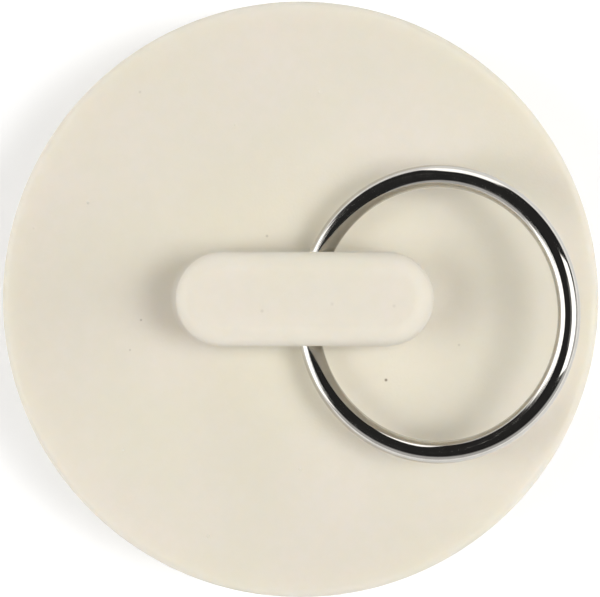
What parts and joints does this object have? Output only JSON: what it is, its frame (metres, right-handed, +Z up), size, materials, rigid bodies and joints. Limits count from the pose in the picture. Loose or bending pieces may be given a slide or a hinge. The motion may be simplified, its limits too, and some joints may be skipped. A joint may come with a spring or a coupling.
{
  "type": "drain stopper",
  "caption": "Round rubber drain stopper: flat flange over a tapered hollow plug, with a rounded lug on top that carries a swinging wire pull ring.",
  "frame": {"origin": "on the plug's axis, in the plane of its bottom rim", "axes": "+Z up along the plug's axis towards the lug, +X along the lug towards the ring's free side at rest, +Y across the lug along the ring's hole"},
  "size_m": [0.0444, 0.0444, 0.0257],
  "materials": {
    "cream_rubber": "satin moulded",
    "plated_wire": "bright plated"
  },
  "bodies": {
    "stopper": {"rubber_stopper": "cream_rubber"},
    "ring": {"pull_ring": "plated_wire"}
  },
  "joints": [
    {"name": "ring_swing", "type": "hinge", "parent": "stopper", "child": "ring", "pos_m": [0.0006, 0, 0.0172], "axis": [0, -1, 0], "range_deg": [-30, 164]}
  ]
}
